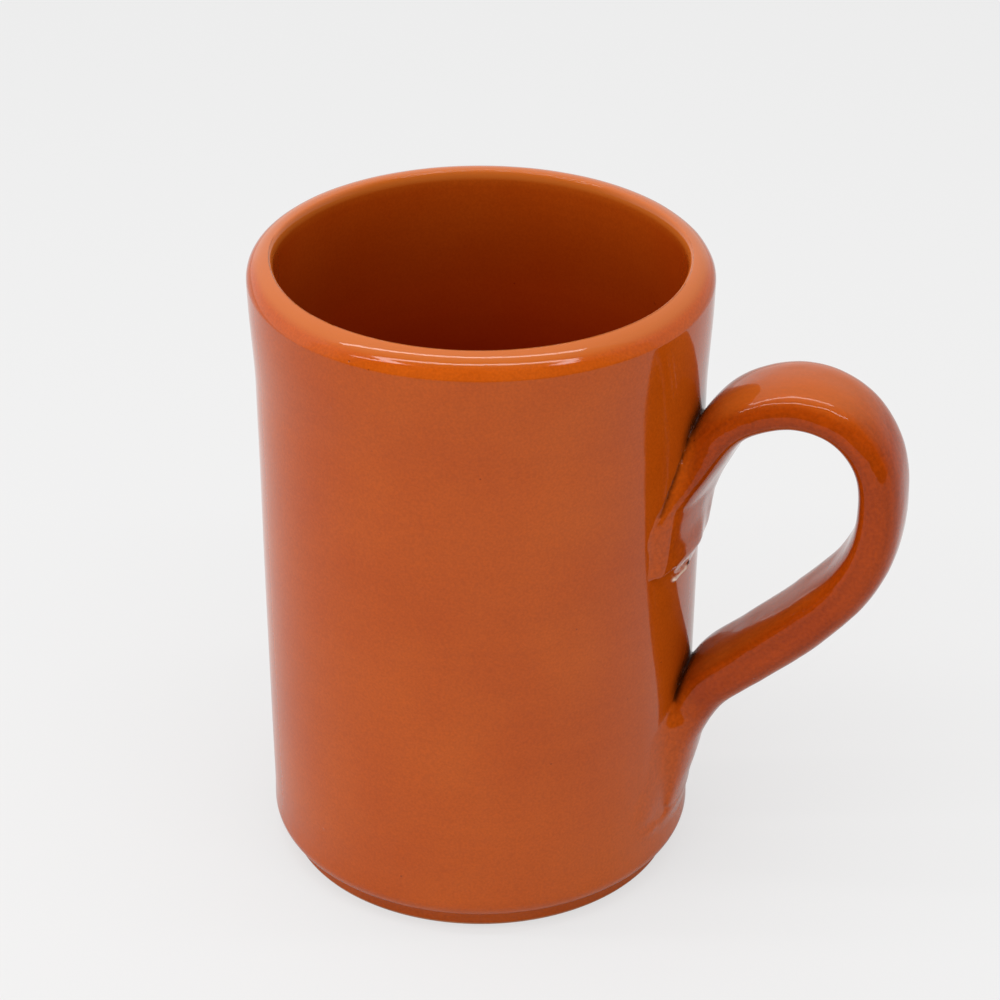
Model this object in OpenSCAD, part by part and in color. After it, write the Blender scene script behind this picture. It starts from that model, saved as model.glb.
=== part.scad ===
// Straight-sided clay mug with a pulled strap handle, glazed all over but for its foot.
// Origin: centre of the foot on the table. +Z is up and the handle is on the +X side.

/* [Cup] */
// Height from the table to the top of the lip
mug_h = 122; // [115:0.5:135]
// Radius over the rolled lip, the widest part of the cup
lip_r = 42.25; // [41:0.25:44]
// Outside radius of the wall just under the lip
wall_top_r = 41.4; // [39.5:0.1:41.5]
// Outside radius of the wall just above the bottom corner
wall_foot_r = 40.6; // [39:0.1:41.2]
// Thickness of the thrown wall
wall_t = 3.9; // [3:0.1:5]
// Thickness of the floor over the recess under the foot
floor_t = 5.4; // [4:0.1:7]

/* [Lip] */
// Radius of the lip's broad outer round
lip_round = 4.2; // [3.5:0.1:4.5]
// Width of the lip's tight inner round, across the wall
mouth_in = 1; // [0.6:0.1:1.4]
// Height of the lip's tight inner round
mouth_rise = 2; // [1:0.1:3]
// Height of the upright band under the outer round
lip_band = 1.5; // [1:0.1:4]
// Height of the bead from the lip's top down to where it meets the wall
bead_h = 26; // [20:0.5:30]

/* [Foot] */
// Radius of the turned foot
foot_r = 37.6; // [34:0.1:38]
// Height of the step between the foot and the wall's corner
foot_h = 3; // [1:0.1:3.5]
// Radius of the rounded corner above the foot
corner_r = 3.6; // [3:0.1:6]
// Width of the ring that stands on the table
foot_ring = 6; // [4:0.5:10]
// Depth of the turned recess inside the ring
recess = 1.2; // [0.8:0.1:2]
// Radius of the corner between the wall and the floor inside
well_r = 7; // [4:0.5:12]

/* [Handle] */
// Distance from the cup's axis to the farthest point of the strap's centre line
handle_reach = 75.2; // [70:0.2:80]
// Height of the centre line at the top of the arch
arch_top = 101; // [98:0.5:104]
// Height of the centre line where the lower leg turns down the wall
leg_z = 40; // [36:0.5:44]
// Width of the strap over most of its length
strap_w = 18; // [15:0.5:20]
// Thickness of the strap over most of its length
strap_t = 8.5; // [6.5:0.25:9.5]
// How square the section is toward the finger gap: 2 is an ellipse, more is flatter
gap_square = 2.8; // [2.2:0.1:3.4]
// How square the section is on the crowned side, away from the finger gap
crown_square = 2.4; // [2:0.1:3]
// Share of the thickness by which the crowned side is the deeper one
crown = 0.08; // [0:0.01:0.12]

/* [Joints] */
// Width of the clay spread on the wall at the upper joint, against the strap's width
spread = 1.5; // [1.1:0.05:1.6]
// How far the upper clay is wiped toward one side
wiped = 2.5; // [0:0.25:3]
// Thickness of the wiped clay's edge where it fades out on the wall
fade_t = 0.5; // [0.3:0.05:0.8]

/* [Hidden] */
glaze = "#b4551f";
wet_glaze = "#a34a18";
// Steps in one round stretch of the profile
arc_n = 10;
// Points round one section of the strap, and rings between two stations
ring_n = 32;
step_n = 5;
// Room that keeps the flat facets of the clay from cutting into the curved wall
seat = 0.02;
neck_z = mug_h - bead_h;
corner_z = foot_h + corner_r;
mouth_r = lip_r - lip_round - mouth_in;
bore_top_r = wall_top_r - wall_t;
bore_foot_r = wall_foot_r - wall_t;
floor_z = recess + floor_t;

// Points on an ellipse with half axes a and b, from angle a0 to a1
function arc(c, a, b, a0, a1, n = arc_n) =
    [for (i = [0:n]) let (t = a0 + (a1 - a0) * i / n) c + [a * cos(t), b * sin(t)]];

// An S-shaped blend from p to q that leaves and arrives upright
function sweep_between(p, q, n = arc_n) =
    [for (i = [1:n - 1]) let (t = i / n) [p.x + (q.x - p.x) * (3 - 2 * t) * t * t, p.y + (q.y - p.y) * t]];

// Middles of the lip's two rounds, the band's lower edge, the wall's top and the bore's top
lip_c = [lip_r - lip_round, mug_h - lip_round];
mouth_c = [lip_c.x, mug_h - mouth_rise];
band_low = [lip_r, lip_c.y - lip_band];
neck = [wall_top_r, neck_z];
bore_top = [bore_top_r, neck_z];

outside = concat(
    arc([wall_foot_r - corner_r, corner_z], corner_r, corner_r, -90, 0),
    [neck],
    sweep_between(neck, band_low, 8),
    [band_low],
    arc(lip_c, lip_round, lip_round, 0, 90)
);
inside = concat(
    arc(mouth_c, mouth_in, mouth_rise, 105, 180, 5),
    sweep_between([mouth_r, mouth_c.y], bore_top, 4),
    [bore_top],
    arc([bore_foot_r - well_r, floor_z + well_r], well_r, well_r, 0, -90),
    [[0, floor_z]]
);
foot_edge = 0.6;
underside = concat(
    [[0, recess], [foot_r - foot_ring - recess, recess]],
    arc([foot_r - foot_ring + foot_edge, foot_edge], foot_edge, foot_edge, -150, -90, 4),
    arc([foot_r - foot_edge, foot_edge], foot_edge, foot_edge, -90, 0, 4),
    [[foot_r, foot_h]]
);

// The outside radius of the wall at a height: a straight taper from corner to neck
function wall_at(z) = wall_foot_r + (wall_top_r - wall_foot_r) * (z - corner_z) / (neck_z - corner_z);

// A place on the strap's route: out is 0 on the wall and 1 at the reach, up is 0 at the leg and 1 at the arch
function place(out, up) = [
    wall_foot_r + out * (handle_reach - wall_foot_r),
    leg_z + up * (arch_top - leg_z)
];

// A station holds its place, its width, its thickness, its shift to the side and its sideways lean
function station(out, up, width, thick, shift = 0, lean = 0) =
    let (p = place(out, up)) [p.x, p.y, width * strap_w, thick * strap_t, shift * wiped, lean];

// From the fading lower edge of the upper clay, up the wall, over the arch and down the leg to the
// wiped tail. A place inside the wall's radius is where the clay is pressed thin.
stations = [
    station(-0.060, 0.370, 0.50, 0.18, -0.7),
    station(-0.043, 0.410, 0.88, 0.36, -0.8, 0.05),
    station(-0.054, 0.490, 1.20, 0.68, -1, 0.14),
    station(-0.065, 0.638, spread, 0.94, -1.5, 0.2),
    station(0.068, 0.798, 1.14, 1.00, -0.5, 0.16),
    station(0.237, 0.944, 1.08, 1.05, -0.1, 0.05),
    station(0.525, 1.007, 1.01, 1.04),
    station(0.800, 0.965, 1.01, 1.00),
    station(0.974, 0.825, 0.99, 0.97),
    station(0.994, 0.617, 0.98, 1.01),
    station(0.887, 0.437, 0.97, 1.09),
    station(0.644, 0.269, 0.96, 1.17),
    station(0.376, 0.126, 0.92, 1.18),
    station(0.134, -0.005, 1.00, 1.16),
    station(0.019, -0.160, 1.12, 0.88),
    station(-0.018, -0.311, 1.00, 0.50),
    station(-0.040, -0.385, 0.80, 0.26),
    station(-0.049, -0.420, 0.45, 0.14)
];
last = len(stations) - 1;
ring_count = last * step_n;
// The rings at which the strap's own clay gives way to the joints' clay
upper_cut = 3 * step_n + 2;
lower_cut = 13 * step_n + 2;

function station_at(i) =
    i < 0 ? 2 * stations[0] - stations[1]
    : i > last ? 2 * stations[last] - stations[last - 1]
    : stations[i];

// A smooth curve through the stations: u counts stations, and all six values turn together
function along(u) =
    let (i = min(floor(u), last - 1), t = u - i)
    let (a = station_at(i - 1), b = station_at(i), c = station_at(i + 1), d = station_at(i + 2))
    (2 * b + (c - a) * t + (2 * a - 5 * b + 4 * c - d) * t * t + (3 * b - a - 3 * c + d) * t * t * t) / 2;

function power(v, e) = sign(v) * pow(abs(v), e);

// Presses a point out on the wall where it would be inside it, with lift to spare
function press(p, lift) =
    let (r = norm([p.x, p.y]), least = wall_at(p.z) + seat + lift, k = max(1, least / r))
    [p.x * k, p.y * k, p.z];

// One section of the strap, square to its route, as points in space
function ring(k) =
    let (u = k / step_n, c = along(u), d = along(min(u + 0.01, last)) - along(max(u - 0.01, 0)))
    let (len_d = norm([d[0], d[1]]), side = [-d[1], d[0]] / len_d)
    [for (j = [0:ring_n - 1])
        let (a = 360 * j / ring_n, crowned = sin(a) > 0)
        let (q = 2 / (crowned ? crown_square : gap_square), half = 0.5 + (crowned ? crown : -crown))
        let (across = c[2] / 2 * power(cos(a), q), deep = c[3] * (half * power(sin(a), q) - crown))
        let (lifted = deep - c[5] * across, outward = max(0, lifted * side.x) * 2 / c[3])
        press([c[0] + lifted * side.x, c[4] + across, c[1] + lifted * side.y], fade_t * outward)];

function middle(points) = [for (p = points) 1] * points / len(points);

// A closed stretch of the strap between two rings, each closed with a fan round its middle
module stretch(from, to) {
    rings = [for (k = [from:to]) ring(k)];
    n = len(rings);
    shell = [for (r = rings) each r];
    low = n * ring_n;
    points = concat(shell, [middle(rings[0]), middle(rings[n - 1])]);
    sides = [for (i = [0:n - 2], j = [0:ring_n - 1])
        let (a = i * ring_n + j, b = i * ring_n + (j + 1) % ring_n)
        each [[a, b, b + ring_n], [a, b + ring_n, a + ring_n]]];
    start_cap = [for (j = [0:ring_n - 1]) [low, (j + 1) % ring_n, j]];
    end_cap = [for (j = [0:ring_n - 1])
        [low + 1, (n - 1) * ring_n + j, (n - 1) * ring_n + (j + 1) % ring_n]];
    polyhedron(points, concat(sides, start_cap, end_cap));
}

// The thrown cup: lip, wall, floor and turned foot, one piece of clay
module body() {
    color(glaze)
    rotate_extrude($fn = 128)
    polygon(concat(underside, outside, inside));
}

// The pulled strap, from its root on the wall over the arch to the end of its leg
module handle() {
    color(glaze)
    stretch(upper_cut, lower_cut);
}

// The clay that the strap's root is pressed on with, spread and wiped down the wall
module upper_joint_clay() {
    color(wet_glaze)
    stretch(0, upper_cut);
}

// The clay of the lower joint, wiped down the wall in a tail that fades out
module lower_joint_clay() {
    color(wet_glaze)
    stretch(lower_cut, ring_count);
}

body();
handle();
upper_joint_clay();
lower_joint_clay();
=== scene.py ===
# A glazed clay mug with a pulled strap handle, dressed for the photograph's view.
import math
from collections import namedtuple
import bmesh
import bpy
import numpy as np
from mathutils import Euler, Matrix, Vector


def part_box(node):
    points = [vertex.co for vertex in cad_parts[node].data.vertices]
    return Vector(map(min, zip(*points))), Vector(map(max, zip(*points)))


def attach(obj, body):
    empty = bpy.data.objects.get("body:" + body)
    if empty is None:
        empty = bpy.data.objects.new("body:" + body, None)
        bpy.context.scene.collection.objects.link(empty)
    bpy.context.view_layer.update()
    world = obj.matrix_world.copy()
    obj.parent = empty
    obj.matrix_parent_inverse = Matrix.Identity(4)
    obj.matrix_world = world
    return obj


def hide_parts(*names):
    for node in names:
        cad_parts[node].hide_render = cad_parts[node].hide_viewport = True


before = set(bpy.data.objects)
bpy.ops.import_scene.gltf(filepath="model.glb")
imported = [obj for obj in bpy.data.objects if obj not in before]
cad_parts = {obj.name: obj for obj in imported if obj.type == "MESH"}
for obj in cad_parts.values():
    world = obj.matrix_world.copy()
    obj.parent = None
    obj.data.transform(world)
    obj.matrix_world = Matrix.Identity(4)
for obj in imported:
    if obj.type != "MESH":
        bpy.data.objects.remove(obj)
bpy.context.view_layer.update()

# Driving sizes in millimetres, as in the part's source
MM = 0.001
BODY_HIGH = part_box("body")[1]
MUG_H = BODY_HIGH[2] / MM
LIP_R = BODY_HIGH[0] / MM
WALL_TOP_R, WALL_FOOT_R, WALL_T, FLOOR_T = 41.4, 40.6, 3.9, 5.4
LIP_OUT, LIP_IN, MOUTH_RISE, LIP_BAND, BEAD_H = 4.2, 1.0, 2.0, 1.5, 26.0
FOOT_R, FOOT_H, CORNER_R, FOOT_RING, RECESS, WELL_R = 37.6, 3.0, 3.6, 6.0, 1.2, 7.0
FOOT_EDGE, FOOT_NOOK = 0.6, 0.5
REACH, ARCH_TOP, LEG_Z = 75.2, 101.0, 40.0
STRAP_W, STRAP_T, SPREAD, WIPED = 18.0, 8.5, 1.5, 2.5
# How square the strap's section is toward the finger gap and away from it, and how far it is crowned
GAP_SQUARE, CROWN_SQUARE, CROWN = 2.8, 2.4, 0.08
NECK_Z, CORNER_Z, FLOOR_Z = MUG_H - BEAD_H, FOOT_H + CORNER_R, RECESS + FLOOR_T
LIP_Z, MOUTH_Z = MUG_H - LIP_OUT, MUG_H - MOUTH_RISE
BAND_Z, MOUTH_R = LIP_Z - LIP_BAND, LIP_R - LIP_OUT - LIP_IN

# Steps round the cup, and the grid's step for the strap's field, in millimetres
TURNS, GRID = 300, 0.36

# The camera, fitted to the cup's silhouette: distance and height in metres, angles in degrees
CAMERA_REACH, CAMERA_HEIGHT = 0.480, 0.3409
CAMERA_TURN, CAMERA_PITCH, CAMERA_YAW, CAMERA_ROLL = 16.0, 29.38, 0.427, 0.23
LENS = 105.78
# The way from the cup's axis to the camera, round the axis from the handle
FRONT = math.radians(CAMERA_TURN - 90)


# Numbers

def lattice(i, j, k, seed):
    """A fixed random number from -1 to 1 for each lattice corner."""
    n = (i * 73856093) ^ (j * 19349663) ^ (k * 83492791) ^ (seed * 2654435)
    n = ((n ^ (n >> 13)) * 1274126177) & 0x7FFFFFFF
    return ((n ^ (n >> 16)) & 0xFFFF) / 32767.5 - 1.0


def noise(x, y, z, step, seed, step_up=None):
    """Smooth noise from -1 to 1 over points, with the lattice's step round and, where it differs, up."""
    x, y, z = np.broadcast_arrays(x / step, y / step, z / (step_up or step))
    cells = [np.floor(v).astype(np.int64) for v in (x, y, z)]
    f = [v - c for v, c in zip((x, y, z), cells)]
    f = [v * v * v * (v * (v * 6 - 15) + 10) for v in f]
    total = 0.0
    for a in (0, 1):
        for b in (0, 1):
            for c in (0, 1):
                weight = np.abs(1 - a - f[0]) * np.abs(1 - b - f[1]) * np.abs(1 - c - f[2])
                total = total + weight * lattice(cells[0] + a, cells[1] + b, cells[2] + c, seed)
    return total


def smooth_step(low, high, v):
    """0 below low, 1 above high, and an S-curve between."""
    t = np.clip((v - low) / (high - low), 0, 1)
    return t * t * (3 - 2 * t)


def window(v, low, full, ebb, high):
    """0 below low, 1 from full to ebb, 0 above high, and S-curves between."""
    return smooth_step(low, full, v) * (1 - smooth_step(ebb, high, v))


def soft_min(a, b, k):
    """The lower of two fields, blended over k."""
    h = np.maximum(k - np.abs(a - b), 0) / k
    return np.minimum(a, b) - h * h * k / 4


# Meshes

def make_piece(name, points, faces, node):
    """A smooth-shaded piece from points in millimetres, riding on the root in the place of a CAD node."""
    mesh = bpy.data.meshes.new(name)
    mesh.from_pydata([tuple(p) for p in np.asarray(points) * MM], [], [tuple(map(int, f)) for f in faces])
    mesh.validate()
    mesh.polygons.foreach_set("use_smooth", [True] * len(mesh.polygons))
    piece = bpy.data.objects.new(name, mesh)
    bpy.context.scene.collection.objects.link(piece)
    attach(piece, "root")
    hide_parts(node)
    return piece


def set_values(piece, name, values):
    """Stores one number for each point of the piece, for its material."""
    layer = piece.data.attributes.new(name, "FLOAT", "POINT")
    layer.data.foreach_set("value", np.asarray(values, np.float32))


# The cup

def ellipse(centre, a, b, start, end, n):
    """Points on an ellipse with half axes a and b, from one angle to another, in degrees."""
    t = np.radians(np.linspace(start, end, n + 1))
    return np.stack([centre[0] + a * np.cos(t), centre[1] + b * np.sin(t)], -1)


def upright_blend(p, q, n):
    """An S-shaped blend from p to q that leaves and arrives upright, without its ends."""
    t = np.arange(1, n) / n
    return np.stack([p[0] + (q[0] - p[0]) * (3 - 2 * t) * t * t, p[1] + (q[1] - p[1]) * t], -1)


def line(p, q, n):
    """Points from p to q, without its ends."""
    t = (np.arange(1, n) / n)[:, None]
    return np.array(p) + t * (np.array(q) - np.array(p))


def wall_at(z):
    """The wall's outside radius at a height, before the thrower's hand moved it."""
    return WALL_FOOT_R + (WALL_TOP_R - WALL_FOOT_R) * (z - CORNER_Z) / (NECK_Z - CORNER_Z)


# The thrower's hand, in millimetres: how far the wall lies inside its true radius, and what that varies by
HAND, HAND_BROAD, HAND_RINGS, HAND_SWIRL, LIP_LUMPS = 0.16, 0.12, 0.015, 0.05, 0.05
# How far the lip lies below its true height in front, how much less at the back, and its wave
LIP_LOW, LIP_RISE, LIP_WAVE = 0.45, 0.36, 0.06
# The near lip was pressed down, with an outward slope from a radius on, while its band came up
PRESSED, PRESSED_SLOPE, PRESSED_FROM, PRESSED_WIDE, BAND_UP = 1.1, 0.26, 37.5, 3.5, 0.5
# How far the far lip leans in over the mouth, and how much less painted shade lies inside under it
FAR_FLAT, FAR_LIT = 0.8, 0.2
# Share of the painted shade inside the cup that comes at once below the mouth
SHADE_AT_ONCE = 0.5
# How strongly the glaze of each part mirrors: its index of refraction
CUP_IOR, JOINT_IOR, STRAP_IOR = 1.35, 1.33, 1.285


def hand(x, y, z):
    """How far inside its true radius the thrown clay lies at a point near the wall: never less than 0."""
    broad = noise(x, y, z, 34, 3, step_up=46)
    rings = noise(x, y, z, 90, 5, step_up=7)
    return HAND + HAND_BROAD * broad + HAND_RINGS * rings


def cup_profile():
    """The cup's section, from the middle of its underside round the wall to the middle of its floor."""
    lip, mouth = (LIP_R - LIP_OUT, LIP_Z), (LIP_R - LIP_OUT, MOUTH_Z)
    neck, corner = (WALL_TOP_R, NECK_Z), (WALL_FOOT_R - CORNER_R, CORNER_Z)
    bore_top, bore_foot = (WALL_TOP_R - WALL_T, NECK_Z), (WALL_FOOT_R - WALL_T, FLOOR_Z + WELL_R)
    well = (bore_foot[0] - WELL_R, bore_foot[1])
    inner = FOOT_R - FOOT_RING
    runs = [
        line((0, RECESS), (inner - RECESS, RECESS), 14),
        ellipse((inner - RECESS, RECESS - FOOT_NOOK), FOOT_NOOK, FOOT_NOOK, 90, 45, 3),
        ellipse((inner + FOOT_EDGE, FOOT_EDGE), FOOT_EDGE, FOOT_EDGE, -150, -90, 5),
        line((inner + FOOT_EDGE, 0), (FOOT_R - FOOT_EDGE, 0), 6),
        ellipse((FOOT_R - FOOT_EDGE, FOOT_EDGE), FOOT_EDGE, FOOT_EDGE, -90, 0, 6),
        ellipse((FOOT_R + FOOT_NOOK, FOOT_H - FOOT_NOOK), FOOT_NOOK, FOOT_NOOK, 180, 90, 4),
        ellipse(corner, CORNER_R, CORNER_R, -84, 0, 18),
        line((WALL_FOOT_R, CORNER_Z), neck, 90),
        [neck],
        upright_blend(neck, (LIP_R, BAND_Z), 24),
        [(LIP_R, BAND_Z)],
        line((LIP_R, BAND_Z), (LIP_R, LIP_Z), 4),
        ellipse(lip, LIP_OUT, LIP_OUT, 0, 90, 34),
        ellipse(mouth, LIP_IN, MOUTH_RISE, 98, 180, 14),
        upright_blend((MOUTH_R, MOUTH_Z), bore_top, 16),
        [bore_top],
        line(bore_top, bore_foot, 40),
        ellipse(well, WELL_R, WELL_R, 0, -90, 14),
        line((well[0], FLOOR_Z), (0, FLOOR_Z), 14),
    ]
    return np.concatenate([np.asarray(r) for r in runs])


def thrown_offset(x, y, z, inside):
    """How far the hand moved the thrown clay away from the axis, inside and outside."""
    lip = smooth_step(MUG_H - 8, MUG_H - 3, z)
    dent = hand(x, y, z) * smooth_step(FOOT_H, CORNER_Z + 4, z)
    dent = dent * (1 - 0.6 * lip) + lip * (0.06 + LIP_LUMPS * noise(x, y, z, 6, 8))
    turn = 2 * math.pi * z / 5.2 + np.arctan2(y, x)
    swirl = HAND_SWIRL * np.sin(turn) * window(z, 12, 25, 90, 108)
    return np.where(inside, hand(x, y, z) * 0.7 + swirl, -dent)


def lip_dip(x, y, z, r, back):
    """How far the lip lies below its true height, where back is 0 toward the camera and 1 away from it."""
    lip = smooth_step(MUG_H - 8, MUG_H - 3, z)
    dip = lip * (LIP_LOW - LIP_RISE * back + LIP_WAVE * noise(x, y, 0 * x, 30, 11))
    pressed = PRESSED + PRESSED_SLOPE * np.clip(r - PRESSED_FROM, 0, PRESSED_WIDE)
    pressed = pressed * smooth_step(MUG_H - 6.5, MUG_H - 1.8, z)
    band = BAND_UP * smooth_step(MUG_H - 13, MUG_H - 5, z)
    return dip + (pressed - band) * (1 - smooth_step(0.15, 0.5, back))


def turned_faces(rings):
    """The faces of a section turned round: rings of points, then the middles of underside and floor."""
    i, j = np.meshgrid(np.arange(rings - 1), np.arange(TURNS), indexing="ij")
    k = (j + 1) % TURNS
    quads = np.stack([i * TURNS + j, i * TURNS + k, (i + 1) * TURNS + k, (i + 1) * TURNS + j], -1)
    j, k = j[0], k[0]
    underside = np.stack([np.full(TURNS, rings * TURNS), k, j], -1)
    last = (rings - 1) * TURNS
    floor = np.stack([np.full(TURNS, rings * TURNS + 1), last + j, last + k], -1)
    return [*quads.reshape(-1, 4), *underside, *floor]


def is_bare(face):
    """Whether a face of the cup is on the unglazed foot: its standing ring or its recess."""
    return face.center.z < 0.5 * MM or (face.center.z < (RECESS + 0.4) * MM and face.normal.z < 0)


def paint_body(piece, points, z, inside, far, clay):
    """Stores the painted shade inside the cup, darker further down, the lighter colour where the lip's
    glaze is thin, partly painted light, and the painted shade beside the strap's creases, partly pooled
    glaze.
    """
    # Painted shade inside the cup: darker further down, and less of it under the far lip
    below = MUG_H - 1.4 - z
    at_once = SHADE_AT_ONCE - FAR_LIT * far * (1 - smooth_step(0, 30, below))
    deep = at_once * smooth_step(0, 1.2, below) + (1 - SHADE_AT_ONCE) * smooth_step(0, 60, below)
    # Lighter where the lip's glaze is thin, partly painted light on its upward faces
    thin_glaze_and_lit_faces = smooth_step(MUG_H - 1.5, MUG_H - 0.4, z + 0.8 * inside)
    set_values(piece, "deep", np.append(np.where(inside, deep, 0), [0, 1]))
    set_values(piece, "thin_glaze_and_lit_faces", np.append(thin_glaze_and_lit_faces, [0, 0]))
    # Painted shade on the wall beside the strap's creases, partly pooled glaze
    set_values(piece, "pool", np.append(crease_shade(points, clay), [0, 0]))


def make_body(clay):
    """The thrown cup: its section turned round, with the wheel's and the hand's small unevenness."""
    profile = cup_profile()
    angle = np.linspace(0, 2 * math.pi, TURNS, endpoint=False)
    r, z = profile[:, 0][:, None], profile[:, 1][:, None] + 0 * angle
    x, y = r * np.cos(angle), r * np.sin(angle)
    inside = np.arange(len(profile))[:, None] > np.argmax(profile[:, 1])
    safe_r = np.maximum(r, 1)
    back = 0.5 - 0.5 * (x * math.cos(FRONT) + y * math.sin(FRONT)) / safe_r
    far = smooth_step(0.5, 0.85, back)
    scale = np.where(r < 12, 1, 1 + thrown_offset(x, y, z, inside) / safe_r)
    scale = scale - FAR_FLAT * far * smooth_step(MUG_H - 24, MUG_H - 1.5, z) * inside / safe_r
    points = np.stack([x * scale, y * scale, z - lip_dip(x, y, z, r, back)], -1).reshape(-1, 3)
    corners = np.concatenate([points, [[0, 0, RECESS], [0, 0, FLOOR_Z]]])
    piece = make_piece("cup_body", corners, turned_faces(len(profile)), "body")
    paint_body(piece, points, z, inside, far, clay)
    piece.data.materials.append(glazed_clay("cup_glaze", *CUP_CLAY, CUP_IOR))
    piece.data.materials.append(bare_clay("foot_clay"))
    piece.data.polygons.foreach_set("material_index", [int(is_bare(f)) for f in piece.data.polygons])


# The strap and its joints, as one field that is then cut into its pieces

def station(out, up, width, thick, shift=0.0, lean=0.0):
    """A place on the strap's route, with its width, thickness, shift to the side and sideways lean."""
    return [WALL_FOOT_R + out * (REACH - WALL_FOOT_R), LEG_Z + up * (ARCH_TOP - LEG_Z),
            width * STRAP_W, thick * STRAP_T, shift * WIPED, lean]


STATIONS = np.array([
    station(-0.060, 0.370, 0.50, 0.18, -0.7),
    station(-0.043, 0.410, 0.88, 0.36, -0.8, 0.05),
    station(-0.054, 0.490, 1.20, 0.68, -1, 0.14),
    station(-0.065, 0.638, SPREAD, 0.94, -1.5, 0.2),
    station(0.068, 0.798, 1.14, 1.00, -0.5, 0.16),
    station(0.237, 0.944, 1.08, 1.05, -0.1, 0.05),
    station(0.525, 1.007, 1.01, 1.04),
    station(0.800, 0.965, 1.01, 1.00),
    station(0.974, 0.825, 0.99, 0.97),
    station(0.994, 0.617, 0.98, 1.01),
    station(0.887, 0.437, 0.97, 1.09),
    station(0.644, 0.269, 0.96, 1.17),
    station(0.376, 0.126, 0.92, 1.18),
    station(0.134, -0.005, 1.00, 1.16),
    station(0.019, -0.160, 1.12, 0.88),
    station(-0.018, -0.311, 1.00, 0.50),
    station(-0.040, -0.385, 0.80, 0.26),
    station(-0.049, -0.420, 0.45, 0.14),
])
UPPER_CUT, LOWER_CUT = 3.4, 13.4
FIELD_LOW, FIELD_HIGH = np.array([33.0, -25.0, 5.0]), np.array([81.5, 16.0, 107.5])
# Fields over one grid: the skin, the solid under it, the painted shade in creases, partly pooled glaze, and
# the bare strap
Clay = namedtuple("Clay", "skin solid pool strap axes")
# How far the skin's fading edge lies under the wall's surface, and how deep the joints are rooted in it
SUNK, ROOTED = 0.02, 0.7
# How broadly strap and wall run into each other in the creases, and how much more at tail and root
TIGHT, LOOSE_TAIL, LOOSE_ROOT = 0.35, 5.0, 2.4
# The strap's hand-made unevenness: height, size and seed of each kind of lump
UNEVEN = ((0.14, 12, 21), (0.03, 3.2, 22), (0.012, 1.4, 24))
# Height of the lumps in the creases, how much thinner root and tail are, and how much squarer the leg
CREASE_LUMPS, ROOT_SLACK, TAIL_SLACK, LEG_SQUARE = 0.5, 1.2, 0.5, 0.5
# The wiped pad's height, how it rises under the thumb, and the size of its ragged edge's teeth
PAD_H, THUMBED, RAGGED = 1.3, 0.06, 1.7
# The torn crumb and the dark lump at its far end: place round the wall and up, and size
CRUMB_Z, CRUMB_H, CRUMB_THICK = 66.3, 0.95, 0.42
LUMP_ROUND, LUMP_Z, LUMP_R, LUMP_H = -5.6, 66.9, 0.75, 0.7
# Name, slot, CAD node and the glaze's IOR of each piece, in the skin's order
STRAP_PIECES = (
    ("upper_joint", "glazed_clay_joint", "upper_joint_clay", JOINT_IOR),
    ("strap_handle", "glazed_clay_handle", "handle", STRAP_IOR),
    ("lower_joint", "glazed_clay_joint", "lower_joint_clay", JOINT_IOR),
)


def nearest_on(route_points, points):
    """The number of the route's nearest point to each point, both in the plane of the strap."""
    nearest = np.empty(len(points), int)
    for start in range(0, len(points), 4000):
        part = slice(start, start + 4000)
        nearest[part] = ((points[part, None] - route_points) ** 2).sum(2).argmin(1)
    return nearest


def along(u):
    """The route at station number u, which may be fractional: a smooth curve through the stations."""
    ends = np.concatenate([[2 * STATIONS[0] - STATIONS[1]], STATIONS, [2 * STATIONS[-1] - STATIONS[-2]]])
    u = np.asarray(u, float)
    i = np.minimum(u.astype(int), len(STATIONS) - 2)
    t = (u - i)[..., None]
    a, b, c, d = (ends[i + m] for m in range(4))
    bend, twist = 2 * a - 5 * b + 4 * c - d, 3 * b - a - 3 * c + d
    return (2 * b + (c - a) * t + bend * t ** 2 + twist * t ** 3) / 2


def route():
    """Dense samples of the route: station number, values, direction and the normal to its left."""
    u = np.linspace(0, len(STATIONS) - 1, 900)
    c = along(u)
    d = np.gradient(c[:, :2], axis=0)
    d /= np.linalg.norm(d, axis=1)[:, None]
    return u, c, d, np.stack([-d[:, 1], d[:, 0]], -1)


def straightened(points):
    """Each point's place if the strap were straight, in millimetres: along it, across it and through it."""
    _, c, d, side = route()
    run = np.append(0, np.cumsum(np.linalg.norm(np.diff(c[:, :2], axis=0), axis=1)))
    nearest = nearest_on(c[:, :2], points[:, [0, 2]])
    away = points[:, [0, 2]] - c[nearest, :2]
    lengthwise, through = (away * d[nearest]).sum(1), (away * side[nearest]).sum(1)
    return np.stack([run[nearest] + lengthwise, points[:, 1], through], -1)


def torn_ridge(round_wall, z, ragged):
    """Height of the rough crumb where the wiped clay tore off."""
    middle_z = CRUMB_Z + (round_wall + 12) * 0.02 + 0.25 * ragged
    ends = window(round_wall, -12.3, -11.0, -6.2, -5.4)
    return (CRUMB_H + 0.45 * ragged) * np.exp(-((z - middle_z) / CRUMB_THICK) ** 2) * ends


def dark_lump(round_wall, z):
    """The lump of dark glaze at the crumb's far end, from 0 to 1."""
    return np.exp(-((round_wall - LUMP_ROUND) / LUMP_R) ** 2 - ((z - LUMP_Z) / LUMP_R) ** 2)


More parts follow.
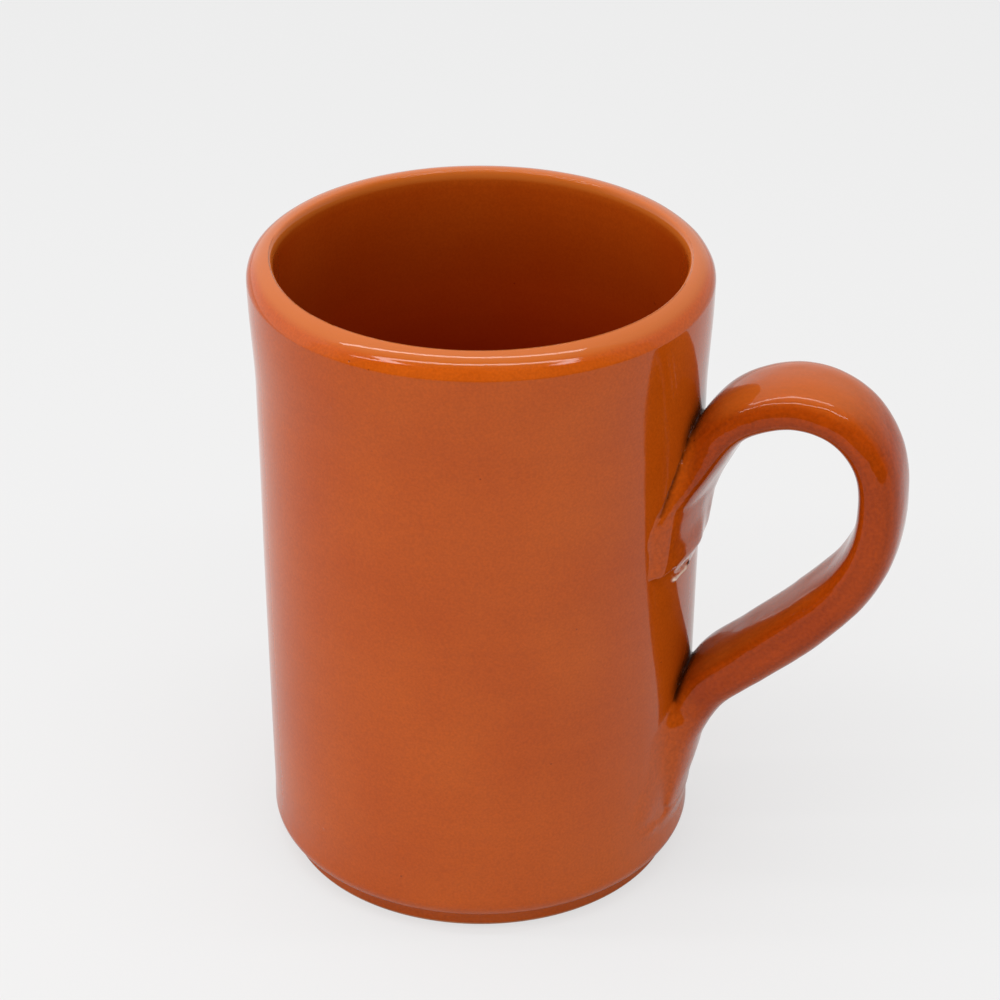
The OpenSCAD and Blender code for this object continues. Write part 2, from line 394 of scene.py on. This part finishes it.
def wiped_pads(x, y, z):
    """Height of the clay wiped out on the wall beside and below the strap's root."""
    round_wall = np.arctan2(y, x) * WALL_TOP_R
    ragged = noise(round_wall, z, 0 * z, RAGGED, 31)
    up = z - 70
    rise = window(round_wall, -20.5 + 0.15 * up, -16.5 + 0.3 * up, -4, 4)
    far = smooth_step(-15, -11, round_wall)
    torn_off = smooth_step(69.3 - 2 * far, 70.3 + far, z + 0.5 * ragged * (1 - far))
    tall = torn_off * (1 - smooth_step(79, 86, z))
    thumbed = THUMBED * np.clip(round_wall + 15, 0, 10) * (1 - smooth_step(72.5, 76.5, z))
    crumb = np.maximum(torn_ridge(round_wall, z, ragged), LUMP_H * dark_lump(round_wall, z))
    return (PAD_H + thumbed) * rise * tall + np.maximum(crumb, 0)


def strap_field(axes):
    """The strap by itself: distance to its swept section, found from the nearest place on its route."""
    plane = np.stack([v.ravel() for v in np.meshgrid(axes[0], axes[2], indexing="ij")], -1)
    u, c, d, side = route()
    nearest = nearest_on(c[:, :2], plane)
    shape = (len(axes[0]), 1, len(axes[2]))
    away = plane - c[nearest, :2]
    deep = (away * side[nearest]).sum(1).reshape(shape)
    at_end = (nearest == 0) | (nearest == len(u) - 1)
    past = np.where(at_end, (away * d[nearest]).sum(1), 0).reshape(shape)
    width, thick, shift, lean = (c[nearest, m].reshape(shape) for m in (2, 3, 4, 5))
    across = axes[1][None, :, None] - shift
    deep = deep + lean * across + CROWN * thick
    leg = window(u[nearest], 7.5, 9.5, 12, 13.5).reshape(shape)
    square = np.where(deep > 0, CROWN_SQUARE, GAP_SQUARE) + LEG_SQUARE * leg
    half = np.where(deep > 0, 0.5 + CROWN, 0.5 - CROWN) * thick
    a = np.maximum(np.abs(across) / (width / 2), 1e-6)
    b = np.maximum(np.hypot(deep, past) / half, 1e-6)
    total = a ** square + b ** square
    g = total ** (1 / square)
    slope = g / total * np.hypot(a ** (square - 1) / (width / 2), b ** (square - 1) / half)
    return np.maximum((g - 1) / slope, -thick / 2)


def crease(strap, wall, wide):
    """1 in the crease where strap and wall meet, fading to 0 over about wide millimetres."""
    return np.exp(-(np.maximum(np.abs(strap), np.abs(wall)) / wide) ** 2)


def worked(strap, wall, x, y, z):
    """The strap as the hand left it: uneven, slacker at root and tail, with small lumps in its creases."""
    uneven = sum(height * noise(x, y, z, size, seed) for height, size, seed in UNEVEN)
    strap = strap + uneven * smooth_step(16, 32, z) + TAIL_SLACK * (1 - smooth_step(14, 24, z))
    strap = strap + ROOT_SLACK * (1 - smooth_step(43, 52, x)) * window(z, 55, 60, 64, 70)
    creased = (window(z, 80, 84, 94, 97) + 0.6 * window(z, 38, 40, 43, 46)) * (1 - smooth_step(-7, -4, y))
    lumps = np.maximum(noise(x, y, z, 1.0, 23) - 0.1, 0)
    return strap - CREASE_LUMPS * creased * crease(strap, wall, 1.0) * lumps


def clay_field():
    """The strap, its joints and the wall under them, as fields over one grid."""
    axes = [np.arange(low, high, GRID) for low, high in zip(FIELD_LOW, FIELD_HIGH)]
    x, y, z = np.meshgrid(*axes, indexing="ij", sparse=True)
    wall = np.hypot(x, y) - wall_at(z) + hand(x, y, z)
    strap = worked(strap_field(axes), wall, x, y, z)
    pads = wiped_pads(x, y, z)
    loose = TIGHT + LOOSE_TAIL * (1 - smooth_step(33, 39.5, z)) + LOOSE_ROOT * window(z, 62, 70, 76, 85)
    skin = soft_min(strap, wall - pads, loose)
    solid = np.maximum(skin + SUNK, -(wall + ROOTED))
    solid = np.maximum(solid, np.minimum(strap - loose - 0.8, 0.01 - pads))
    for axis in range(3):
        solid.swapaxes(0, axis)[[0, -1]] = GRID
    # Painted shade in the creases, partly pooled glaze: wider at the top of the upper crease and round the
    # lower one
    wide = 0.4 + 1.3 * smooth_step(92, 97, z) + 0.9 * window(z, 36, 41, 52, 60)
    pool = crease(strap, wall, wide) * (z > 31) * (loose < 1)
    return Clay(skin, solid, pool, strap, axes)


def net(field, axes):
    """A closed mesh on the field's zero surface: one point to each cell that it crosses."""
    inside = field < 0
    cell = [s - 1 for s in field.shape]
    count = np.zeros(cell, np.int8)
    corners = [(a, b, c) for a in (0, 1) for b in (0, 1) for c in (0, 1)]
    for a, b, c in corners:
        count += inside[a:a + cell[0], b:b + cell[1], c:c + cell[2]]
    where = np.argwhere((count > 0) & (count < 8))
    ids = np.full(cell, -1)
    ids[tuple(where.T)] = np.arange(len(where))
    values = np.stack([field[tuple((where + np.array(q)).T)] for q in corners], -1)
    total, hits = np.zeros((len(where), 3)), np.zeros(len(where))
    for m, p in enumerate(corners):
        for n, q in enumerate(corners):
            if n > m and sum(abs(s - t) for s, t in zip(p, q)) == 1:
                f, g = values[:, m], values[:, n]
                cross = (f < 0) != (g < 0)
                t = np.where(cross, f / np.where(cross, f - g, 1), 0)[:, None]
                total += np.where(cross[:, None], np.array(p) + t * (np.array(q) - np.array(p)), 0)
                hits += cross
    points = where + total / hits[:, None]
    faces = []
    for axis in range(3):
        one = [0, 0, 0]
        one[axis] = 1
        near = inside[tuple(slice(0, s - o) for s, o in zip(inside.shape, one))]
        far = inside[tuple(slice(o, None) for o in one)]
        edge = np.argwhere(near != far)
        p, q = [v for v in range(3) if v != axis]
        ring = []
        for s, t in ((-1, -1), (0, -1), (0, 0), (-1, 0)):
            at = edge.copy()
            at[:, p] += s
            at[:, q] += t
            ring.append(ids[tuple(at.T)])
        quad = np.stack(ring, -1)
        flip = near[tuple(edge.T)] == (axis != 1)
        faces.append(np.where(flip[:, None], quad, quad[:, ::-1]))
    return np.array([v[0] for v in axes]) + points * GRID, np.concatenate(faces)


def sample(field, axes, points):
    """The field's value at points between its grid's corners."""
    at = (points - np.array([v[0] for v in axes])) / GRID
    at = np.clip(at, 0, np.array(field.shape) - 1.001)
    i = at.astype(int)
    f = at - i
    total = 0.0
    for a in (0, 1):
        for b in (0, 1):
            for c in (0, 1):
                weight = np.abs(1 - a - f[:, 0]) * np.abs(1 - b - f[:, 1]) * np.abs(1 - c - f[:, 2])
                total = total + weight * field[i[:, 0] + a, i[:, 1] + b, i[:, 2] + c]
    return total


def slope_of(field, axes, points):
    """The field's gradient at points, from differences over two cells."""
    step = GRID * 0.8
    parts = []
    for axis in range(3):
        move = np.zeros(3)
        move[axis] = step
        parts.append((sample(field, axes, points + move) - sample(field, axes, points - move)) / (2 * step))
    return np.stack(parts, -1)


def crease_shade(points, clay):
    """How much painted shade, partly pooled glaze, lies on the wall at each point, beside the strap in its
    two creases.
    """
    z = points[:, 2]
    creases = smooth_step(90, 96, z) + window(z, 38, 42, 52, 60)
    within = np.all((points > FIELD_LOW) & (points < FIELD_HIGH), axis=1)
    outer = np.hypot(points[:, 0], points[:, 1]) > WALL_FOOT_R - 2
    gap = np.maximum(sample(clay.strap, clay.axes, points), 0)
    return 0.9 * np.exp(-(gap / 1.6) ** 2) * creases * within * outer


def settle(points, field, axes):
    """Moves points on to the field's zero surface."""
    for _ in range(3):
        g = slope_of(field, axes, points)
        size = np.maximum((g ** 2).sum(1), 0.05)
        step = sample(field, axes, points) / size
        points = points - np.clip(step, -GRID, GRID)[:, None] * g
    return points


def by_joint(p, upper):
    """Whether a point lies by the upper or the lower joint and not on the rest of the strap."""
    return p[0] < 57 and (p[2] > 57) == upper


def cut_planes():
    """A point and a direction for the plane at each end of the strap, square to its route."""
    _, c, d, _ = route()
    places = [int(round(at / (len(STATIONS) - 1) * (len(c) - 1))) for at in (UPPER_CUT, LOWER_CUT)]
    return [(np.array([c[i, 0], 0, c[i, 1]]), np.array([d[i, 0], 0, d[i, 1]])) for i in places]


def cut_skin(points, faces):
    """The skin, cut at the strap's two ends, each face marked: 0 upper joint, 1 handle, 2 lower joint."""
    mesh = bmesh.new()
    verts = [mesh.verts.new(p) for p in points]
    for f in faces:
        mesh.faces.new([verts[i] for i in f])
    planes = cut_planes()
    for upper, (centre, way) in zip((True, False), planes):
        near = [f for f in mesh.faces if by_joint(f.calc_center_median(), upper)]
        near += list({e for f in near for e in f.edges}) + list({v for f in near for v in f.verts})
        bmesh.ops.bisect_plane(mesh, geom=near, dist=1e-5, plane_co=centre, plane_no=way)
    mark = mesh.faces.layers.int.new("piece")
    for f in mesh.faces:
        p = np.array(f.calc_center_median())
        f[mark] = 1
        if by_joint(p, True) and (p - planes[0][0]) @ planes[0][1] < 0:
            f[mark] = 0
        if by_joint(p, False) and (p - planes[1][0]) @ planes[1][1] > 0:
            f[mark] = 2
    return mesh


def closed_part(mesh, number):
    """The points and faces of one marked part of the skin, with its cut ends filled."""
    part = mesh.copy()
    mark = part.faces.layers.int["piece"]
    bmesh.ops.delete(part, geom=[f for f in part.faces if f[mark] != number], context="FACES")
    bmesh.ops.holes_fill(part, edges=[e for e in part.edges if e.is_boundary], sides=0)
    bmesh.ops.recalc_face_normals(part, faces=part.faces)
    part.verts.index_update()
    corners = np.array([v.co[:] for v in part.verts])
    faces = [[v.index for v in f.verts] for f in part.faces]
    part.free()
    return corners, faces


def shade_by_field(piece, field, axes):
    """Turns the piece's outer normals to the field's own, so that joined pieces shade as one skin."""
    mesh = piece.data
    points = np.empty(len(mesh.vertices) * 3)
    mesh.vertices.foreach_get("co", points)
    slope = slope_of(field, axes, points.reshape(-1, 3) / MM)
    slope /= np.maximum(np.linalg.norm(slope, axis=1)[:, None], 1e-9)
    corners = np.empty(len(mesh.loops), int)
    mesh.loops.foreach_get("vertex_index", corners)
    flat = np.empty(len(mesh.polygons) * 3)
    mesh.polygons.foreach_get("normal", flat)
    sizes = np.empty(len(mesh.polygons), int)
    mesh.polygons.foreach_get("loop_total", sizes)
    flat = np.repeat(flat.reshape(-1, 3), sizes, axis=0)
    outer = (flat * slope[corners]).sum(1) > 0.4
    mesh.normals_split_custom_set(np.where(outer[:, None], slope[corners], flat))


def paint_strap(piece, corners, clay):
    """Stores what the glaze's colour needs at each point: streaks, painted shade in the creases, partly
    pooled glaze, the pale crumb where the clay tore off, partly a painted glint, and faces painted paler
    where they turn up or down, as light falls on them.
    """
    x, y, z = corners.T
    layer = piece.data.attributes.new("straight", "FLOAT_VECTOR", "POINT")
    layer.data.foreach_set("vector", straightened(corners).ravel().astype(np.float32))
    round_wall, from_axis = np.arctan2(y, x) * WALL_TOP_R, np.hypot(x, y)
    on_wall = np.abs(from_axis - WALL_TOP_R) < 2
    # The crumb's pale colour is partly a painted glint
    torn_and_glint = torn_ridge(round_wall, z, noise(round_wall, z, 0, RAGGED, 31))
    lump = smooth_step(0.3, 0.6, dark_lump(round_wall, z)) * on_wall
    # Painted shade in the creases, partly pooled glaze, with the dark glaze of the lump
    set_values(piece, "pool", np.maximum(sample(clay.pool, clay.axes, corners), lump))
    set_values(piece, "torn_and_glint", smooth_step(0.12, 0.4, torn_and_glint) * on_wall * (1 - lump))
    # Painted light: faces that turn up are painted paler as the roof lights them, and faces that turn down
    # as the paper lights them
    facing_up = slope_of(clay.skin, clay.axes, corners)[:, 2]
    pale = np.maximum(0.6 * smooth_step(0.4, 0.95, facing_up), 0.4 * smooth_step(0.25, 0.75, -facing_up))
    merge_high = 3.5 + 5 * (1 - smooth_step(34, 44, z))
    on_cup = 1 - smooth_step(0.4, merge_high, from_axis - wall_at(z))
    set_values(piece, "merge", on_cup)
    set_values(piece, "thin_glaze_and_lit_faces", pale * (1 - on_cup))


def make_clay(clay):
    """The handle and the clay of its two joints: one skin, cut where the joints' clay takes over."""
    points, faces = net(clay.solid, clay.axes)
    mesh = cut_skin(settle(points, clay.solid, clay.axes), faces)
    for number, (name, slot_name, node, ior) in enumerate(STRAP_PIECES):
        corners, faces = closed_part(mesh, number)
        piece = make_piece(name, corners, faces, node)
        piece.data.materials.append(glazed_clay(name + "_glaze", *STRAP_CLAY, ior, pulled=True))
        shade_by_field(piece, clay.skin, clay.axes)
        paint_strap(piece, corners, clay)
    mesh.free()


# Materials

# Light and dark clay of cup and strap, linear
CUP_CLAY = (0.435, 0.075, 0.004, 1), (0.385, 0.058, 0.002, 1)
STRAP_CLAY = (0.32, 0.042, 0.001, 1), (0.27, 0.032, 0.001, 1)
# The glaze's colour where it is thin, also painted on faces lit from above and below; the painted shade
# deep inside the cup; the painted shade in creases, partly pooled glaze, also the dark of pits; and the
# torn clay's, partly a painted glint
CLAY_THIN_AND_LIT, CLAY_INSIDE_SHADE = (0.42, 0.096, 0.012, 1), (0.226, 0.0051, 0.0003, 1)
CLAY_SHADE_AND_SPECK, CLAY_TORN_GLINT = (0.035, 0.006, 0.001, 1), (0.78, 0.60, 0.48, 1)
BARE_DARK, BARE_LIGHT, BARE_GRIT = (0.40, 0.14, 0.055, 1), (0.52, 0.21, 0.09, 1), (0.22, 0.06, 0.02, 1)
# How much thrown and pulled clay are streaked, grained and rough, and how many grains there are to a metre
THROWN_LOOK, PULLED_LOOK = (0.02, 0.10, 0.04, 2200), (0.12, 0.14, 0.10, 1500)
# How the streaks are drawn out: round the cup, and along the strap
THROWN_DRAWN, PULLED_DRAWN = (25, 25, 620), (0.03, 0.75, 0.75)
# How many clouds of colour, swells, patches of sheen and cells of specks there are to a metre
CLOUDS, SWELLS, SHEEN_PATCHES, SPECKS = 38, 170, 120, 260
BARE_GRAINS, BARE_CLOUDS = 1500, 60
# Roughness of the glaze where it is smoothest and dullest, what torn clay adds to it, and the bare foot's
SMOOTH, DULL, TORN_ROUGH, BARE_ROUGH = 0.035, 0.10, 0.6, 0.85
# Height of the glaze's and the bare clay's bumps, in metres
GLAZE_RELIEF, BARE_RELIEF = 0.0001, 0.0002


def add(tree, kind, links=(), **settings):
    """A new shader node with its settings and inputs: numbers are set and sockets are linked."""
    node = tree.nodes.new(kind)
    for key, value in settings.items():
        setattr(node, key, value)
    for key, value in links:
        if isinstance(value, bpy.types.NodeSocket):
            tree.links.new(value, node.inputs[key])
        else:
            node.inputs[key].default_value = value
    return node


def patches(tree, place, scale, detail=3.0, stretch=None):
    """Soft noise from 0 to 1, about 1/scale metres across, drawn out along the axes by stretch."""
    if stretch:
        place = add(tree, "ShaderNodeMapping", [("Vector", place), ("Scale", stretch)]).outputs["Vector"]
    texture = add(tree, "ShaderNodeTexNoise", [("Vector", place), ("Scale", scale), ("Detail", detail)])
    return texture.outputs["Fac"]


def ramp(tree, value, low, high, out_low=0.0, out_high=1.0):
    """The value taken from one range to another, and held at its ends."""
    numbers = (("From Min", low), ("From Max", high), ("To Min", out_low), ("To Max", out_high))
    return add(tree, "ShaderNodeMapRange", [("Value", value), *numbers]).outputs["Result"]


def blend(tree, how, factor, a, b):
    """Two colours mixed."""
    node = add(tree, "ShaderNodeMix", data_type="RGBA", blend_type=how)
    for key, value in ((0, factor), (6, a), (7, b)):
        if isinstance(value, bpy.types.NodeSocket):
            tree.links.new(value, node.inputs[key])
        else:
            node.inputs[key].default_value = value
    return node.outputs[2]


def compute(tree, how, a, b):
    """Two numbers put together."""
    return add(tree, "ShaderNodeMath", [(0, a), (1, b)], operation=how).outputs[0]


def summed(tree, numbers):
    """The sum of numbers."""
    result = numbers[0]
    for number in numbers[1:]:
        result = compute(tree, "ADD", result, number)
    return result


def stored(tree, name):
    """The number that the piece's points store under a name."""
    return add(tree, "ShaderNodeAttribute", attribute_name=name).outputs["Fac"]


def object_place(tree):
    """The place on the piece, in metres."""
    return add(tree, "ShaderNodeTexCoord").outputs["Object"]


def new_material(name):
    """A material, its node tree and its shader."""
    material = bpy.data.materials.new(name)
    material.use_nodes = True
    return material, material.node_tree, material.node_tree.nodes["Principled BSDF"]


def roughen(tree, shader, height, distance):
    """Raises the surface by the height, drawn as bumps."""
    bump = add(tree, "ShaderNodeBump", [("Height", height), ("Distance", distance), ("Strength", 0.5)])
    tree.links.new(bump.outputs["Normal"], shader.inputs["Normal"])


def specks(tree, place):
    """Small pits and small bumps in the glaze, each in a few of the cells of a pattern."""
    cells = add(tree, "ShaderNodeTexVoronoi", [("Vector", place), ("Scale", SPECKS)])
    chance = add(tree, "ShaderNodeSeparateColor", [("Color", cells.outputs["Color"])])
    pit = ramp(tree, cells.outputs["Distance"], 0.03, 0.06, 1, 0)
    bump = ramp(tree, cells.outputs["Distance"], 0.02, 0.10, 1, 0)
    pits = compute(tree, "MULTIPLY", pit, ramp(tree, chance.outputs["Red"], 0.90, 0.92))
    return pits, compute(tree, "MULTIPLY", bump, ramp(tree, chance.outputs["Green"], 0.93, 0.95))


def glazed_clay(name, light, dark, ior, pulled=False):
    """Orange-brown clay under a clear gloss glaze: clouded, finely streaked, with pits and specks."""
    material, tree, shader = new_material(name)
    place = object_place(tree)
    streaked, grained, rough_skin, grains = PULLED_LOOK if pulled else THROWN_LOOK
    clouds = ramp(tree, patches(tree, place, CLOUDS), 0.3, 0.7)
    grain = patches(tree, place, grains, 2)
    pits, bumps = specks(tree, place)
    colour = blend(tree, "MIX", clouds, dark, light)
    if pulled:
        straight = add(tree, "ShaderNodeAttribute", attribute_name="straight").outputs["Vector"]
        streaks = patches(tree, straight, 1, stretch=PULLED_DRAWN)
        merge = stored(tree, "merge")
        colour = blend(tree, "MIX", merge, colour, blend(tree, "MIX", clouds, CUP_CLAY[1], CUP_CLAY[0]))
        by_streak = ramp(tree, streaks, 0.3, 0.7, -streaked, streaked)
        by_streak = compute(tree, "MULTIPLY", by_streak, compute(tree, "SUBTRACT", 1.0, merge))
    else:
        streaks = patches(tree, place, 1, stretch=THROWN_DRAWN)
        by_streak = ramp(tree, streaks, 0.3, 0.7, -streaked, streaked)
    fine = compute(tree, "ADD", by_streak, ramp(tree, grain, 0.3, 0.7, 1 - grained, 1 + grained))
    shades = add(tree, "ShaderNodeCombineColor", [("Red", fine), ("Green", fine), ("Blue", fine)])
    colour = blend(tree, "MULTIPLY", 1.0, colour, shades.outputs[0])
    colour = blend(tree, "MIX", compute(tree, "MULTIPLY", pits, 0.6), colour, CLAY_SHADE_AND_SPECK)
    torn_and_glint = stored(tree, "torn_and_glint")
    # Painted light and shade: the lighter colour of thin glaze, also painted on faces lit from above and
    # below; painted shade deep inside the cup; painted shade in the creases, partly pooled glaze
    for layer, tint in (("thin_glaze_and_lit_faces", CLAY_THIN_AND_LIT), ("deep", CLAY_INSIDE_SHADE), ("pool", CLAY_SHADE_AND_SPECK)):
        colour = blend(tree, "MIX", stored(tree, layer), colour, tint)
    # The crumb's pale colour where the clay tore off, partly a painted glint
    tree.links.new(blend(tree, "MIX", torn_and_glint, colour, CLAY_TORN_GLINT), shader.inputs["Base Color"])
    rough = ramp(tree, patches(tree, place, SHEEN_PATCHES, 2), 0.35, 0.7, SMOOTH, DULL)
    rough = compute(tree, "ADD", rough, compute(tree, "MULTIPLY", torn_and_glint, TORN_ROUGH))
    tree.links.new(rough, shader.inputs["Roughness"])
    shader.inputs["IOR"].default_value = ior
    swells = patches(tree, place, SWELLS, 2)
    relief = ((swells, 0.5), (streaks, 0.04), (grain, rough_skin), (pits, -0.6), (bumps, 2.5))
    height = summed(tree, [compute(tree, "MULTIPLY", part, share) for part, share in relief])
    roughen(tree, shader, height, GLAZE_RELIEF)
    return material


def bare_clay(name):
    """The unglazed clay of the foot: matt, gritty and paler than under the glaze."""
    material, tree, shader = new_material(name)
    place = object_place(tree)
    grit, clouds = patches(tree, place, BARE_GRAINS), patches(tree, place, BARE_CLOUDS)
    colour = blend(tree, "MIX", ramp(tree, clouds, 0.3, 0.7), BARE_DARK, BARE_LIGHT)
    colour = blend(tree, "MIX", ramp(tree, grit, 0.62, 0.72), colour, BARE_GRIT)
    tree.links.new(colour, shader.inputs["Base Color"])
    shader.inputs["Roughness"].default_value = BARE_ROUGH
    roughen(tree, shader, grit, BARE_RELIEF)
    return material


# The studio

# Radiance of the white paper as the camera sees it, of the tent's cloth and of its dark front opening
PAPER, CLOTH, SIDE_LIGHT, OPENING = 0.89, 1.0, 0.3, 0.03
# The paper's own grey, how much of it glows for the camera so that the shadow is faint, and half its side
PAPER_ALBEDO, FAINT, PAPER_SIDE = 0.62, 0.72, 3.0
# How much more the tent's roof shows in the glaze right overhead
ROOF = 0.5
# How much the opening darkens at its edge and further in
OPEN_EDGE, OPEN_WIDE = 0.4, 0.6
# How far in front of the cup's axis the paper ends, as the glaze reflects it, in metres
PAPER_END = 0.35
WHITE = (1, 1, 1, 1)
# The tent's lamps: place to the right of the axis, toward the camera and up, length, width and radiance
STRIPS = ((-0.12, 0.035, 0.62, 0.80, 0.04, 12.0), (-0.14, 0.28, 0.62, 1.10, 0.04, 12.0))


def part_along(tree, vector, angle):
    """How far a vector goes the level way that an angle gives."""
    way = (math.cos(angle), math.sin(angle), 0)
    dot = add(tree, "ShaderNodeVectorMath", [(0, vector), (1, way)], operation="DOT_PRODUCT")
    return dot.outputs["Value"]


def make_world():
    """A light tent: white cloth all round but for the opening in front; white for the camera."""
    world = bpy.data.worlds.new("tent")
    bpy.context.scene.world = world
    world.use_nodes = True
    tree = world.node_tree
    way = add(tree, "ShaderNodeTexCoord").outputs["Generated"]
    path = add(tree, "ShaderNodeLightPath").outputs
    toward, leftward = part_along(tree, way, FRONT), part_along(tree, way, FRONT - math.pi / 2)
    up = add(tree, "ShaderNodeSeparateXYZ", [("Vector", way)]).outputs["Z"]
    cloth = ramp(tree, leftward, -1, 1, CLOTH - SIDE_LIGHT, CLOTH + SIDE_LIGHT)
    roof = compute(tree, "MULTIPLY", ramp(tree, up, 0.35, 1.0, 0, ROOF), path["Is Glossy Ray"])
    cloth = compute(tree, "ADD", cloth, roof)
    edge, wide = ramp(tree, toward, -0.03, 0.03, 0, OPEN_EDGE), ramp(tree, toward, 0.12, 0.42, 0, OPEN_WIDE)
    opened = compute(tree, "MULTIPLY", compute(tree, "ADD", edge, wide), path["Is Glossy Ray"])
    dark = compute(tree, "MULTIPLY", opened, cloth)
    pale = compute(tree, "MULTIPLY", path["Is Camera Ray"], compute(tree, "SUBTRACT", cloth, PAPER))
    light = compute(tree, "SUBTRACT", compute(tree, "SUBTRACT", cloth, dark), pale)
    background = tree.nodes["Background"].inputs
    tree.links.new(compute(tree, "MAXIMUM", light, OPENING), background["Strength"])
    background["Color"].default_value = WHITE


def paper_material():
    """White paper that glows a little for the camera, and that ends in front as the glaze reflects it."""
    material, tree, shader = new_material("paper")
    shader.inputs["Base Color"].default_value = (PAPER_ALBEDO, PAPER_ALBEDO, PAPER_ALBEDO, 1)
    shader.inputs["Roughness"].default_value = 0.9
    shader.inputs["Specular IOR Level"].default_value = 0.0
    path = add(tree, "ShaderNodeLightPath").outputs
    glow = add(tree, "ShaderNodeEmission", [("Color", WHITE), ("Strength", PAPER)]).outputs[0]
    faint = compute(tree, "MULTIPLY", path["Is Camera Ray"], FAINT)
    paper = add(tree, "ShaderNodeMixShader", [("Fac", faint), (1, shader.outputs[0]), (2, glow)]).outputs[0]
    toward = part_along(tree, object_place(tree), FRONT)
    past_end = ramp(tree, toward, PAPER_END - 0.01, PAPER_END + 0.01)
    beyond = compute(tree, "MULTIPLY", past_end, path["Is Glossy Ray"])
    dark = add(tree, "ShaderNodeEmission", [("Color", WHITE), ("Strength", OPENING)]).outputs[0]
    ended = add(tree, "ShaderNodeMixShader", [("Fac", beyond), (1, paper), (2, dark)]).outputs[0]
    tree.links.new(ended, tree.nodes["Material Output"].inputs["Surface"])
    return material


def make_floor():
    """The white paper, with the mug's shadow kept faint for the camera, as in the photograph."""
    mesh = bpy.data.meshes.new("paper")
    corners = [(x * PAPER_SIDE, y * PAPER_SIDE, 0) for x, y in ((-1, -1), (1, -1), (1, 1), (-1, 1))]
    mesh.from_pydata(corners, [], [(0, 1, 2, 3)])
    floor = bpy.data.objects.new("paper", mesh)
    bpy.context.scene.collection.objects.link(floor)
    mesh.materials.append(paper_material())


def make_lamps():
    """Two long lamps across the tent's roof, one overhead and one toward the camera."""
    across = FRONT + math.pi / 2
    for number, (right, toward, up, length, width, radiance) in enumerate(STRIPS):
        lamp = bpy.data.lights.new("strip_%d" % number, "AREA")
        lamp.shape, lamp.size, lamp.size_y = "RECTANGLE", length, width
        lamp.energy = radiance * math.pi * length * width
        light = bpy.data.objects.new(lamp.name, lamp)
        light.location = (toward * math.cos(FRONT) + right * math.cos(across),
                          toward * math.sin(FRONT) + right * math.sin(across), up)
        light.rotation_euler = (math.atan2(toward, up - 0.1), 0, across)
        bpy.context.scene.collection.objects.link(light)


def make_camera():
    """The photograph's viewpoint: the handle turns toward the camera by CAMERA_TURN."""
    turn = math.radians(CAMERA_TURN)
    data = bpy.data.cameras.new("camera")
    data.lens = LENS
    camera = bpy.data.objects.new("camera", data)
    camera.location = (CAMERA_REACH * math.sin(turn), -CAMERA_REACH * math.cos(turn), CAMERA_HEIGHT)
    aim = Euler((math.radians(90 - CAMERA_PITCH), 0, turn - math.radians(CAMERA_YAW))).to_matrix()
    camera.rotation_euler = (aim @ Matrix.Rotation(math.radians(CAMERA_ROLL), 3, "Z")).to_euler()
    bpy.context.scene.collection.objects.link(camera)
    bpy.context.scene.camera = camera


bpy.context.scene.view_settings.view_transform = "Standard"
make_camera()
make_world()
make_floor()
make_lamps()
strap_clay = clay_field()
make_body(strap_clay)
make_clay(strap_clay)
